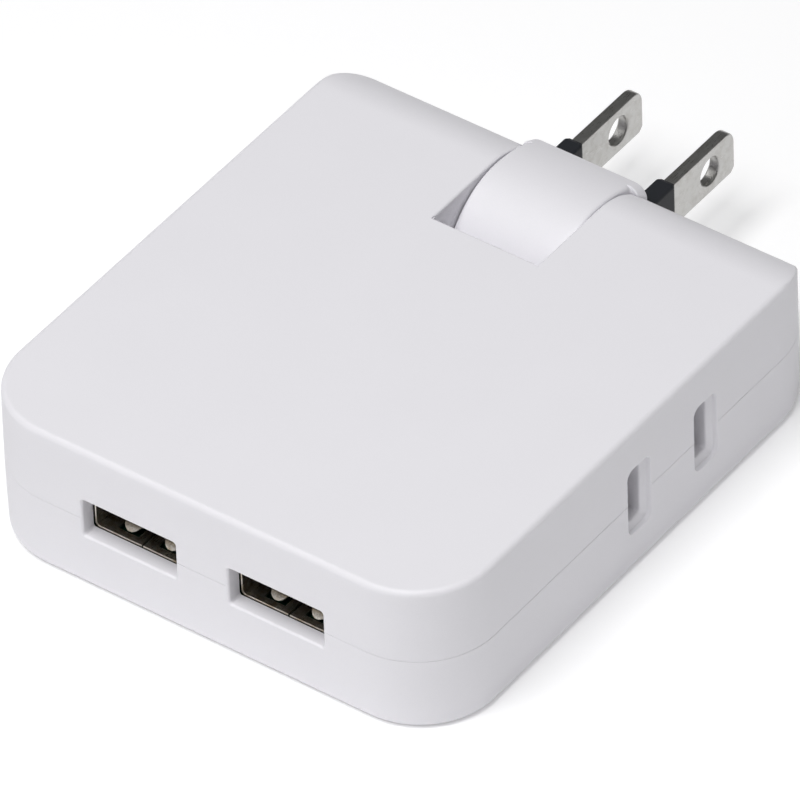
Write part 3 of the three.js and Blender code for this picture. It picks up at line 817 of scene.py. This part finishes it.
def case_screw(end, side):
    """A screw: a domed head turned about Z, its cross cut by two tapering bars, and a ridged shank."""
    low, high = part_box(f"case_screw_{end}_{side}")
    x, y = (low.x + high.x) / 2, (low.y + high.y) / 2
    radius, crest, valley, point = (high.x - low.x) / 2, 1.2 * MM, 0.98 * MM, 0.5 * MM
    dome, under = 0.6 * MM, low.z + 1.6 * MM
    steps = [(low.z + dome * (1 - sin(t)), radius * sin(t) ** 0.6) for t in np.linspace(0.1, pi / 2, 8)]
    steps += [(under, radius), (under, crest)]
    shank = np.arange(low.z + 2.2 * MM, high.z - 0.6 * MM, 0.25 * MM)
    steps += [(z, crest if turn % 2 else valley) for turn, z in enumerate(shank)]
    steps += [(high.z, point)]
    screw = turned(f"screw_{end}_{side}", steps, lambda z, a, b: np.column_stack([x + a, y + b, z]), 32)
    for wide, deep in ((1.5, 0.32), (0.32, 1.5)):
        rings = []
        for z, share in ((low.z - MM, 1.25), (low.z, 1.0), (low.z + 1.2 * MM, 0.45)):
            rect = np.array([(1, 1), (-1, 1), (-1, -1), (1, -1)]) * (wide * MM * share, deep * MM * share)
            rings.append(ring_xy(rect + (x, y), z))
        carve(screw, skin("cross", rings))
    smooth(screw, 40)
    dress(screw, zinc, "case", "steel", f"case_screw_{end}_{side}")


for end in SCREWS:
    for side in SIDES:
        case_screw(end, side)


# ---- Bus bars and detent spring -----------------------------------------------------------------------
# Brass stampings carry each pole from the plug's pin to a clip behind every outlet slot. A leaf of spring
# steel clicks the plug straight or folded.
def finish_node(name, material):
    """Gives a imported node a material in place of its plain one."""
    node = frame["nodes"][name]
    for place in node.material_slots:
        place.material = material


spring_steel = metal("spring_steel", (0.55, 0.56, 0.58), (0.3, 0.27, 0.25), 0.3, 0.3)
for name in ("live_bus_bar", "neutral_bus_bar"):
    finish_node(name, brass)
finish_node("detent_spring", spring_steel)


# ---- Circuit board and its parts ----------------------------------------------------------------------
# The board and what is soldered to it are closed in by the case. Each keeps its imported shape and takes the
# finish of the real thing: solder mask, ferrite, polyester tape, plastic sleeve, epoxy, resin and ceramic.
solder_mask = moulded("solder_mask", (0.004, 0.035, 0.016), 0.35, 0.6 * MM, 0.01 * MM)
ferrite = moulded("ferrite", (0.035, 0.035, 0.038), 0.6, 0.3 * MM, 0.02 * MM)
tape = moulded("polyester_tape", (0.62, 0.43, 0.02), 0.3, 1.2 * MM, 0.01 * MM)
sleeve_film = moulded("sleeve_film", (0.02, 0.035, 0.12), 0.28, 0.8 * MM, 0.004 * MM)
epoxy = moulded("dipped_epoxy", (0.02, 0.13, 0.42), 0.25, 0.7 * MM, 0.02 * MM)
chip_resin = moulded("chip_resin", (0.014, 0.014, 0.016), 0.55, 0.1 * MM, 0.005 * MM)
ceramic = moulded("glazed_ceramic", (0.75, 0.72, 0.66), 0.2, 0.5 * MM, 0.004 * MM)
INSIDE = {
    "main_board": solder_mask,
    "transformer_core": ferrite,
    "transformer_winding": tape,
    "input_capacitor_1": sleeve_film,
    "input_capacitor_2": sleeve_film,
    "output_capacitor_1": sleeve_film,
    "output_capacitor_2": sleeve_film,
    "safety_capacitor": epoxy,
    "bridge_rectifier": chip_resin,
    "controller_chip": chip_resin,
    "output_diode": chip_resin,
    "fuse": ceramic,
}
for name, material in INSIDE.items():
    finish_node(name, material)


# ---- Floor and light ----------------------------------------------------------------------------------
# White paper under the charger, a big soft light overhead towards the USB edge, a weaker one on each side of
# it, and a dim white room.
def floor_material():
    """White paper, bright enough to lose its edge in the light."""
    material = bpy.data.materials.new("paper")
    material.use_nodes = True
    bsdf = material.node_tree.nodes["Principled BSDF"]
    bsdf.inputs["Base Color"].default_value = (0.9, 0.9, 0.905, 1)
    bsdf.inputs["Roughness"].default_value = 0.9
    bsdf.inputs["Specular IOR Level"].default_value = 0.1
    bsdf.inputs["Emission Color"].default_value = (1, 1, 1, 1)
    bsdf.inputs["Emission Strength"].default_value = 0.17
    return material


floor_mesh = bpy.data.meshes.new("floor")
reach = 3.0
corners = [(-reach, -reach, 0), (reach, -reach, 0), (reach, reach, 0), (-reach, reach, 0)]
floor_mesh.from_pydata([(x, y, case_low.z - 0.05 * MM) for x, y, z in corners], [], [(0, 1, 2, 3)])
floor_mesh.materials.append(floor_material())
floor = bpy.data.objects.new("floor", floor_mesh)
bpy.context.collection.objects.link(floor)


def soft_light(name, place, size, power, colour=(1, 1, 1)):
    """A square area light aimed at the slab's middle."""
    data = bpy.data.lights.new(name, "AREA")
    data.size = size
    data.energy = power
    data.color = colour
    light = bpy.data.objects.new(name, data)
    light.location = place
    light.rotation_euler = (Vector(place) - SLAB_MIDDLE).to_track_quat("Z", "Y").to_euler()
    bpy.context.collection.objects.link(light)


soft_light("overhead", (0, -0.32, 0.9), 0.6, 8.3)
soft_light("right", (0.5, 0.1, 0.8), 0.5, 0.35)
soft_light("front", (-0.6, -0.8, 0.6), 0.7, 0.9)
world = bpy.data.worlds.new("room")
world.use_nodes = True
world.node_tree.nodes["Background"].inputs["Color"].default_value = (1, 1, 1, 1)
world.node_tree.nodes["Background"].inputs["Strength"].default_value = 0.12
bpy.context.scene.world = world
bpy.context.scene.view_settings.view_transform = "Standard"
